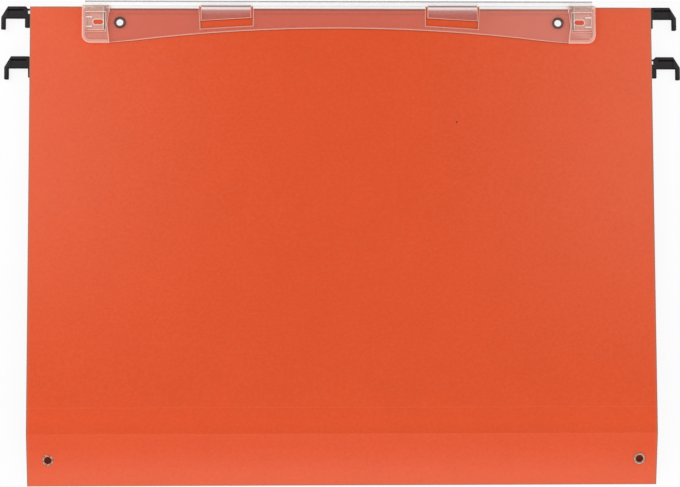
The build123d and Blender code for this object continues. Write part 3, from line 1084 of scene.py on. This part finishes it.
# %% Shares of the lens, its tongues and its legs
lens_fade = (0.0001, -0.0002)
crown_highlight_line = (0.00125, 0.0016)
crown_highlight_fade = (0.0060, 0.00125)
tongue_edge_drop = 0.0001
tongue_edge_fade = (0.0006, 0.00018)
eye_in = 0.0044
eye_drop = 0.0097
eye_half = 0.00155
eye_highlight_line = (0.00175, 0.0006)
leg_clear_fade = (0.0052, 0.0036)
leg_highlight_line = (0.0013, 0.0006)
leg_dark_fade = (0.0010, 0.0007)


def lens_haze(finish, place):
    _, drop = holder_place(finish, place)
    return 0.01 + 0.60 * finish.ramp(drop, *lens_fade)


# Painted highlight on the crown, fading down the tongue.
def tongue_haze(finish, place):
    _, drop = holder_place(finish, place)
    return 0.03 + 0.66 * line(finish, drop, *crown_highlight_line) + 0.13 * finish.ramp(drop, *crown_highlight_fade)


# Painted shade along the tongue's upper edge.
def tongue_painted_shade(finish, place):
    _, drop = holder_place(finish, place)
    return 0.90 * finish.ramp(abs(drop - tongue_edge_drop), *tongue_edge_fade)


def leg_haze(finish, place):
    """Milky wall of a leg, clearer at its top, with painted highlights on the collar round its eye and along
    its inner side.
    """
    away, drop = holder_place(finish, place)
    beyond = abs(away - window_inner - eye_in) - eye_half | 0.0
    below = drop - eye_drop
    eye_highlight = line(finish, (beyond * beyond + below * below) ** 0.5, *eye_highlight_line)
    clearer = 0.10 * finish.ramp(drop, *leg_clear_fade)
    return 0.22 - clearer + 0.26 * eye_highlight + 0.40 * line(finish, away - window_inner, *leg_highlight_line)


def leg_painted_shade(finish, place):
    """Painted shade down the inner side of a leg, where one looks into the gap of the window."""
    away, _ = holder_place(finish, place)
    return 0.85 * finish.ramp(away - window_inner, *leg_dark_fade)


# %% Mix the clear finishes
clear_apron = clear_finish("clear_apron", haze=apron_haze, tint=0.968, milk=apron_milk, painted_shade=apron_painted_shade)
# The three rim finishes are painted highlights.
clear_rim = clear_finish("clear_rim", haze=0.66, tint=0.985, milk=rim_glow, mirror=(0.0, 0.1))
clear_pale_rim = clear_finish("clear_pale_rim", haze=0.80, tint=0.985, milk=pale_glow, mirror=(0.02, 0.5))
clear_white_rim = clear_finish("clear_white_rim", haze=0.82, tint=0.985, milk=white_glow, mirror=(0.02, 0.5))
# The walls under the rims pass only about half the light: painted shadow along the edges.
clear_edge = clear_finish("clear_edge", haze=0.0, tint=0.55, mirror=(0.0, 0.05))
# A dark finish in the gap inside a window: painted shadow.
clear_gap = clear_finish("clear_gap", haze=0.0, tint=0.90, painted_shade=0.80, mirror=(0.01, 0.1))
clear_block = clear_finish("clear_block", haze=block_haze, tint=0.968, milk=block_glow, painted_shade=block_painted_shade)
clear_lintel = clear_finish("clear_lintel", haze=0.10, tint=0.92, milk=leg_milk)
clear_lens = clear_finish("clear_lens", haze=lens_haze, tint=0.998, milk=white, casts_shadow=False)
# Painted shade: the faces along the crest are grey for the deep wall seen end on.
clear_crest = clear_finish("clear_crest", haze=0.45, tint=0.85, milk=crest_shade, casts_shadow=False)
clear_tongue = clear_finish(
    "clear_tongue", haze=tongue_haze, tint=0.91, milk=tongue_milk, painted_shade=tongue_painted_shade, dark=tongue_shade_colour
)
clear_leg = clear_finish(
    "clear_leg", haze=leg_haze, tint=0.97, milk=leg_milk, painted_shade=leg_painted_shade, dark=gap_shade_colour
)
print("clear finishes", sum(look.name.startswith("clear_") for look in bpy.data.materials))

# %% [markdown]
# The holder lies on the card with an arched lower edge, a notch for each tongue of the lens and an end
# block with a window at each end. It starts as a copy of the CAD's, whose arch and notches are nudged by up
# to about a millimetre to follow the photograph. Its rims catch the light, so they are bevelled wide and
# the bevels get a rim finish that paints that highlight, while the walls under them, and the gap inside a
# window, are painted dark as shade.

# %% Faces and edges of the holder
apron_level = 0.0009
apron_wall_slope = 0.55
lintel_drop = 0.004
dish_clear = 0.0056
least_apron_edge = 0.0012
least_block_edge = 0.0006


def block_face(face):
    return abs(middle(face).x) > block_inner


def lintel_face(face):
    spot = middle(face)
    return block_face(face) and spot.y > panel_top - lintel_drop + touch and spot.z > apron_level + touch


def block_wall(face):
    return block_face(face) and is_wall(face)


def window_wall(face):
    return abs(abs(middle(face).x) - window_inner) < touch and abs(face.normal.x) > wall_slope


def apron_wall(face):
    return not block_face(face) and is_wall(face, apron_wall_slope)


def block_edge(edge):
    low = min(vert.co.z for vert in edge.verts)
    return low > holder_high.z - touch and edge.calc_length() > least_block_edge and outer_edge(edge)


def apron_edge(edge):
    spot = middle(edge)
    flat = all(abs(vert.co.z - apron_level) < touch for vert in edge.verts)
    far = hypot(abs(spot.x) - eyelet_spot.x, spot.y - eyelet_spot.y) > dish_clear
    below_top = spot.y < panel_top - touch
    return flat and far and below_top and edge.calc_length() > least_apron_edge and outer_edge(edge)


# %% Index holder
apron_rim = 0.00055
block_rim = 0.00045
arch_shift = 0.0006
cad_notch_sides = (0.0517, 0.0854)
notch_foot_drop = 0.01


def shift(piece, test, step):
    """Moves the vertices that pass the test by one step."""
    count = pick(piece, "verts", test)
    bpy.ops.transform.translate(value=step)
    return count


def lower_than(drop, test):
    """The same test, only for vertices at more than this drop from the panel's top edge."""
    return lambda vert: panel_top - vert.co.y > drop and test(vert)


def on_arch(vert):
    rise = arch_radius + arch_drops[0] - arch_shift - (panel_top - vert.co.y)
    return abs(vert.co.x) < block_inner - touch and abs(hypot(vert.co.x, rise) - arch_radius) < 3 * touch


def on_notch(x):
    """Test for the vertices of one side of a notch."""
    return lambda vert: abs(vert.co.x - x) < touch and panel_top - vert.co.y < notch_drops[1] + touch


holder = welded_copy("index_holder", "clear_holder", holder_frame)
dress(holder, clear_apron, clear_rim, clear_block, clear_lintel, clear_edge, clear_pale_rim, clear_gap)
bpy.ops.object.mode_set(mode="EDIT")
moved = [shift(holder, on_arch, (0, -arch_shift, 0))]
for side in (-1, 1):
    for old, new in zip(cad_notch_sides, notch_sides):
        moved.append(shift(holder, on_notch(side * old), (side * (new - old), 0, 0)))
    notch_foot = lower_than(notch_foot_drop, on_notch(side * notch_sides[1]))
    moved.append(shift(holder, notch_foot, (-side * notch_lean, 0, 0)))
face_look(holder, clear_block, block_face)
face_look(holder, clear_lintel, lintel_face)
# The block walls get the painted highlight of the rim finish.
face_look(holder, clear_rim, block_wall)
face_look(holder, clear_gap, window_wall)
rims = round_edges(holder, block_rim, clear_pale_rim, block_edge, clamp=False)
rims += round_edges(holder, apron_rim, clear_rim, apron_edge)
face_look(holder, clear_edge, apron_wall)
set_down(holder, holder_frame)
smooth(holder, moulded_smooth_degrees)
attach(holder, "front_panel")
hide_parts("index_holder")
print("holder moved", moved, "rims", rims, "faces", len(holder.data.polygons))

# %% [markdown]
# The lens is a long channel over the top edge, with two tongues and a leg in each window. Seen from the
# front its crest is a wall several millimetres deep, which reads as a thin grey line, so the faces along
# the crest are painted grey as shade. Each tongue has a painted highlight on its crown under a painted
# dark upper edge, and each leg has painted highlights and a line of painted shade. The copy of the CAD's
# lens gets tongues and legs that are about a millimetre larger, to follow the photograph.

# %% Faces and edges of the lens
tongue_sides = (0.0525, 0.0845)
tongue_face_level = 0.0005
lens_front = 0.00085
lens_sharp_degrees = 40
facing_slope = 0.6
crest_wall = 0.0008
window_margin = 0.0020
leg_drop = 0.0147
cad_leg_gap = 0.0008
leg_gap = 0.0001
window_outer = holder_high.x - window_margin
lens_top = local_box("label_lens", holder_frame)[1].y


def on_tongue(spot):
    above_card = touch if spot.y < panel_top else lens_front + touch
    return tongue_sides[0] < abs(spot.x) < tongue_sides[1] and spot.z > above_card


def on_leg(spot):
    return abs(spot.x) > window_inner and spot.z > 0 and spot.y < panel_top


def tongue_face(face):
    return on_tongue(middle(face))


def tongue_foot(face):
    return tongue_face(face) and face.normal.y < -facing_slope


def crest_face(face):
    return middle(face).y > lens_top - crest_wall and abs(face.normal.z) > facing_slope


def leg_face(face):
    return on_leg(middle(face))


def proud_leg_face(face):
    return leg_face(face) and middle(face).z > lens_front + touch


def leg_gap_face(face):
    """Inner wall of a leg, which faces the middle of the holder across the gap of the window."""
    spot = middle(face)
    inward = face.normal.x * (1 if spot.x < 0 else -1)
    return on_leg(spot) and inward > facing_slope and abs(spot.x) < window_inner + 2 * cad_leg_gap


def tongue_edge(edge):
    spot = middle(edge)
    raised = spot.z > tongue_face_level and spot.y < panel_top
    return on_tongue(spot) and raised and outer_edge(edge, lens_sharp_degrees)


def leg_side(spot):
    return min(window_outer - leg_gap - abs(spot.x), spot.y - panel_top + leg_drop) < touch


def leg_front_edge(edge):
    spot = middle(edge)
    return on_leg(spot) and abs(spot.z - lens_front) < touch and outer_edge(edge, lens_sharp_degrees)


def leg_edge(edge):
    return leg_front_edge(edge) and leg_side(middle(edge))


def eye_edge(edge):
    spot = middle(edge)
    return leg_front_edge(edge) and not leg_side(spot) and abs(spot.x) > window_inner + cad_leg_gap


# %% Label lens
tongue_rim = 0.00065
leg_rim = 0.00045
eye_rim = 0.00030
tongue_growth = 0.00125
tongue_low_drop = 0.005
leg_growth = cad_leg_gap - leg_gap


def on_leg_side(x):
    """Test for the vertices of one side of a leg."""
    return lambda vert: abs(vert.co.x - x) < touch and vert.co.z > 0 and vert.co.y < panel_top + touch


lens = welded_copy("label_lens", "clear_lens_rail", holder_frame)
for level in (lens_top - crest_wall, panel_top):
    bpy.ops.mesh.select_all(action="SELECT")
    bpy.ops.mesh.bisect(plane_co=(0, level, 0), plane_no=(0, 1, 0))
dress(lens, clear_lens, clear_white_rim, clear_crest, clear_tongue, clear_leg, clear_rim, clear_edge,
      clear_gap)
bpy.ops.object.mode_set(mode="EDIT")
tongue_low = lower_than(tongue_low_drop, lambda vert: on_tongue(vert.co))
moved = [shift(lens, tongue_low, (0, -tongue_growth, 0))]
for side in (-1, 1):
    for x, step in ((window_inner + cad_leg_gap, -leg_growth), (window_outer - cad_leg_gap, leg_growth)):
        moved.append(shift(lens, on_leg_side(side * x), (side * step, 0, 0)))
face_look(lens, clear_tongue, tongue_face)
face_look(lens, clear_leg, leg_face)
# The proud face of each leg gets the white painted highlight.
face_look(lens, clear_white_rim, proud_leg_face)
face_look(lens, clear_crest, crest_face)
rims = round_edges(lens, tongue_rim, clear_rim, tongue_edge)
rims += round_edges(lens, leg_rim, clear_white_rim, leg_edge)
rims += round_edges(lens, eye_rim, clear_white_rim, eye_edge)
# The foot of each tongue gets the painted shadow too.
face_look(lens, clear_edge, tongue_foot)
face_look(lens, clear_gap, leg_gap_face)
set_down(lens, holder_frame)
smooth(lens, moulded_smooth_degrees)
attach(lens, "label_lens")
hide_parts("label_lens")
print("lens moved", moved, "rims", rims, "faces", len(lens.data.polygons))

# %% [markdown]
# An eyelet is a thin tube of nickelled steel: a flange rolled over on one side and, on the other, an end
# that the tool curls outwards. It is turned ring by ring from a circle. The left one of the base was set
# from inside, so it shows its curled end, which has split into petals.

# %% Finish of the eyelets
nickel_colour = (0.30, 0.21, 0.17, 1.0)
# A darker copy of the nickel for the holder's eyelets: painted shade for the dark reflection in their dish.
shaded_nickel_colour = (0.095, 0.050, 0.043, 1.0)
# The bore is painted near black: painted shade inside the hole.
bore_shade_colour = (0.020, 0.012, 0.012, 1.0)
dull_levels = (0.45, 0.75)


def nickel_finish(name, metal_colour):
    finish = finish_named(name)
    place = finish.place()
    patina = finish.noise(place, scale=900.0, detail=3.0, rough=0.6)
    scratch = finish.noise(finish.stretched(place, (1.0, 0.15, 1.0)), scale=3800.0)
    dull = finish.ramp(patina, *dull_levels)
    colour = finish.tint(metal_colour, 1.1 - 0.45 * dull)
    rough = 0.40 + 0.22 * dull + 0.10 * (scratch - 0.5)
    normal = finish.bump(scratch + patina, strength=0.12, distance=0.00002)
    return finish.opaque(colour, rough, normal, metal=1.0)


nickel_look = nickel_finish("nickel", nickel_colour)
shaded_nickel_look = nickel_finish("dark_nickel", shaded_nickel_colour)
bore_shade_look = nickel_finish("dark_bore", bore_shade_colour)
print("finishes", nickel_look.name, shaded_nickel_look.name, bore_shade_look.name)

# %% Eyelets
eyelet_wall = 0.00026
eyelet_bore = 0.0021
flange_radius = 0.0035
flange_height = 0.00055
roll_radius = 0.0030
petal_radius = 0.0034
roll_height = 0.0005
petal_count = 6
petal_share = 0.72
eyelet_smooth_degrees = 50
# Rings of the flange in shares of its radius and height, and of the curl in shares of its reach and height.
flange_shares = [(1.0, 0.0), (0.9906, 0.45), (0.92, 0.86), (0.82, 1.0), (0.73, 0.93), (0.64, 0.55)]
roll_shares = [(0.2, 0.62), (0.5, 1.0), (0.85, 0.75), (1.0, 0.2)]


def next_ring(before, after):
    """Extrudes a ring of edges from one (radius, height) to the next."""
    grow((0, 0, after[1] - before[1]))
    swell = after[0] / before[0]
    bpy.ops.transform.resize(value=(swell, swell, 1), center_override=(0, 0, after[1]))


def in_petal(edge, level):
    """True for an edge of the ring at this level that goes on into a petal."""
    turn = (atan2(middle(edge).y, middle(edge).x) / (2 * pi) * petal_count) % 1
    return turn < petal_share and all(abs(vert.co.z - level) < touch for vert in edge.verts)


def make_eyelet(part, side, body, place, look, from_inside=False):
    """One eyelet, which shows its flange or, if it was set from inside, its curled end in petals."""
    node = f"{part}_eyelet_{side}"
    low, high = local_box(node, place)
    turn = Matrix.Rotation(pi, 4, "X") if from_inside else Matrix.Identity(4)
    top, bottom = (-low.z, -high.z) if from_inside else (high.z, low.z)
    seat = place @ Matrix.Translation(plane_spot(node, place)) @ turn
    roll_reach = (petal_radius if from_inside else roll_radius) - eyelet_bore
    lip = top - flange_height
    end = bottom + roll_height
    flange = [(out * flange_radius, lip + up * flange_height) for out, up in flange_shares]
    flange += [(eyelet_bore, lip), (eyelet_bore, end)]
    roll = [(eyelet_bore + out * roll_reach, end - down * roll_height) for out, down in roll_shares]
    circle = {"vertices": round_steps, "radius": flange_radius}
    ring = started(f"eyelet_{part}_{side}", bpy.ops.mesh.primitive_circle_add, **circle)
    edit(ring)
    bpy.ops.transform.translate(value=(0, 0, lip))
    for before, after in zip(flange, flange[1:]):
        next_ring(before, after)
    if from_inside:
        pick(ring, "edges", lambda edge: in_petal(edge, end))
    for before, after in zip([flange[-1]] + roll, roll):
        next_ring(before, after)
    crown = max(bmesh.from_edit_mesh(ring.data).faces, key=lambda face: middle(face).z)
    if crown.normal.z < 0:
        bpy.ops.mesh.select_all(action="SELECT")
        bpy.ops.mesh.flip_normals()
    modify(ring, "SOLIDIFY", thickness=eyelet_wall, offset=-1)
    dress(ring, look, bore_shade_look)
    edit(ring)
    face_look(ring, bore_shade_look, lambda face: hypot(*middle(face).xy) < eyelet_bore + touch)
    set_down(ring, seat)
    smooth(ring, eyelet_smooth_degrees)
    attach(ring, body)
    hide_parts(node)
    print(ring.name, "faces", len(ring.data.polygons))


for side in ("left", "right"):
    make_eyelet("holder", side, "front_panel", front_frame, shaded_nickel_look)
make_eyelet("base", "left", "base", base_frame, nickel_look, from_inside=True)
make_eyelet("base", "right", "base", base_frame, nickel_look)

# %% [markdown]
# The rails, the board in the base and the label keep their CAD shapes, which are plain strips on the real
# file too, and only need their finishes: zinc with its brushed grain, grey board with its pulp flecks, and
# smooth white paper.

# %% Finishes of the strips
zinc_colour = (0.56, 0.57, 0.58, 1.0)
board_colour = (0.33, 0.28, 0.22, 1.0)
paper_colour = (0.97, 0.97, 0.96, 1.0)
fibre_fleck_levels = (0.66, 0.76)
fibre_shine = 0.25


def zinc_finish():
    finish = finish_named("zinc")
    place = finish.place()
    brushed = finish.noise(finish.stretched(place, (0.03, 1.0, 1.0)), scale=2400.0, detail=3.0, rough=0.6)
    bloom = finish.noise(place, scale=120.0, detail=3.0, rough=0.6)
    colour = finish.tint(zinc_colour, 0.85 + 0.3 * bloom)
    rough = 0.28 + 0.18 * brushed + 0.1 * (bloom - 0.5)
    normal = finish.bump(brushed, strength=0.1, distance=0.00002)
    return finish.opaque(colour, rough, normal, metal=1.0)


def fibre_finish(name, colour, fleck_depth, roughness):
    finish = finish_named(name)
    place = finish.place()
    pulp = finish.noise(place, scale=260.0, detail=4.0, rough=0.65)
    fibre = finish.noise(finish.stretched(place, (0.3, 1.0, 1.0)), scale=1500.0, detail=3.0)
    fleck = finish.ramp(fibre, *fibre_fleck_levels)
    shade = finish.tint(colour, 1.0 + fleck_depth * (pulp - 0.5) - fleck_depth * fleck)
    normal = finish.bump(fibre + pulp, strength=0.2, distance=0.00004)
    return finish.opaque(shade, roughness + 0.1 * (pulp - 0.5), normal, shine=fibre_shine)


zinc_look = zinc_finish()
board_look = fibre_finish("grey_board", board_colour, fleck_depth=0.35, roughness=0.85)
label_look = fibre_finish("label_paper", paper_colour, fleck_depth=0.03, roughness=0.7)
strip_looks = {
    "front_rail": zinc_look,
    "rear_rail": zinc_look,
    "base_stiffener": board_look,
    "label_strip": label_look,
}
for node, look in strip_looks.items():
    dress(frame["nodes"][node], look)
print("strips", sorted(strip_looks))
